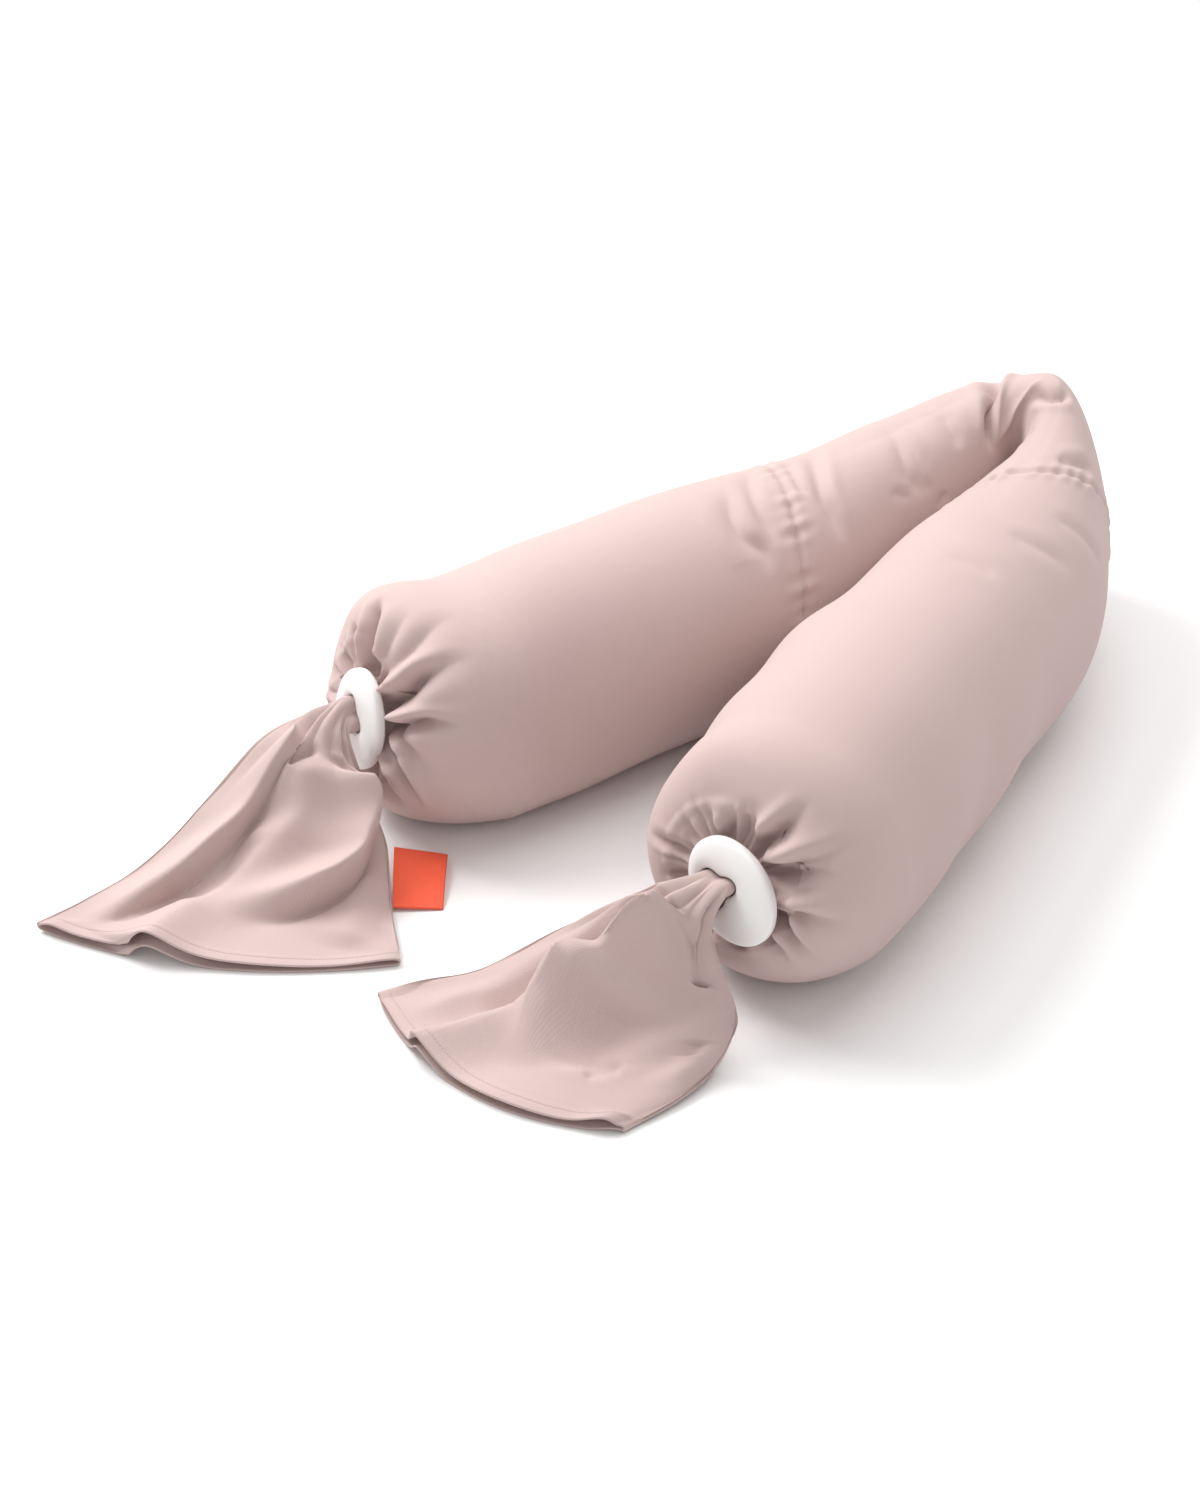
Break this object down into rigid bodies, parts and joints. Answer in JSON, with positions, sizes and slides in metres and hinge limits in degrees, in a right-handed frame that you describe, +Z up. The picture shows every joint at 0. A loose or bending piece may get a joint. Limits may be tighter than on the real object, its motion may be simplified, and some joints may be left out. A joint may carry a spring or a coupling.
{
  "type": "pregnancy pillow",
  "caption": "Long filled bolster folded into a hairpin, its jersey cover gathered through a pebble-shaped ring at each end, with open cloth tails.",
  "frame": {"origin": "on the floor, below the centre of the bounding box", "axes": "+Y from the two gathered ends towards the fold, +Z up from the floor, +X from the left leg to the right leg"},
  "size_m": [0.519, 0.9586, 0.2199],
  "materials": {
    "cover": "matte cotton jersey",
    "ring": "satin",
    "tab": "satin ribbon"
  },
  "bodies": {
    "root": {"pillow_body": "cover", "ring_a": "ring", "ring_b": "ring", "tail_a": "cover", "tail_b": "cover", "label": "tab"}
  },
  "joints": []
}
